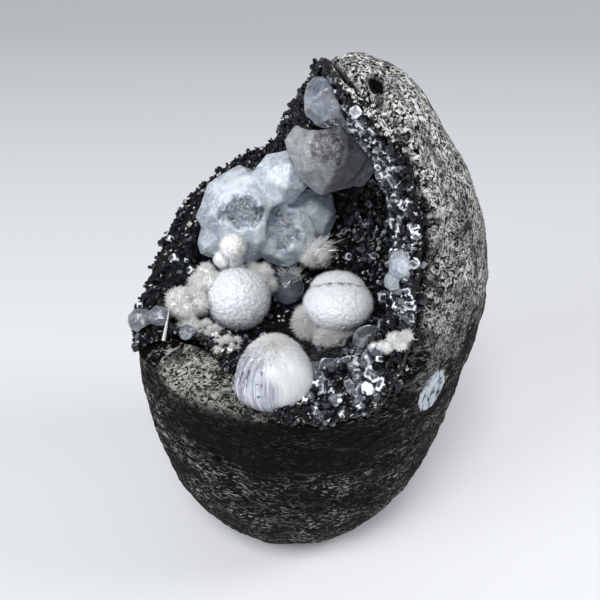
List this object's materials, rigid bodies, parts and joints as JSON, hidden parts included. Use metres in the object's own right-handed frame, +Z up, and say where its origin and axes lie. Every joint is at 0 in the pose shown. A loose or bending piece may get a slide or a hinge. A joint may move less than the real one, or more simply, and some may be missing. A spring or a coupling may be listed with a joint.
{
  "type": "mineral specimen",
  "caption": "Broken basalt nodule that stands on its small end, its open hollow lined with dark druse and filled with clear analcime crystals and white thomsonite balls.",
  "frame": {"origin": "middle of the common box in plan, on the flat base that the stone stands on", "axes": "+Z up, -Y towards the open front of the hollow, +X towards the high side of the stone"},
  "size_m": [0.0504, 0.0496, 0.0809],
  "materials": {
    "basalt": "rough, fine-grained",
    "dark_druse": "glinting small crystals",
    "clear_crystal": "clear with frosted edges",
    "thomsonite": "white, silky needles"
  },
  "bodies": {
    "root": {"basalt_matrix": "basalt", "druse_lining": "dark_druse", "analcime_cluster": "clear_crystal", "analcime_upper": "clear_crystal", "analcime_top": "clear_crystal", "analcime_middle": "clear_crystal", "analcime_left": "clear_crystal", "analcime_lilac": "clear_crystal", "analcime_rim": "clear_crystal", "analcime_right": "clear_crystal", "thomsonite_left": "thomsonite", "thomsonite_right": "thomsonite", "thomsonite_front": "thomsonite", "thomsonite_fan": "thomsonite", "thomsonite_wisp": "thomsonite"}
  },
  "joints": []
}
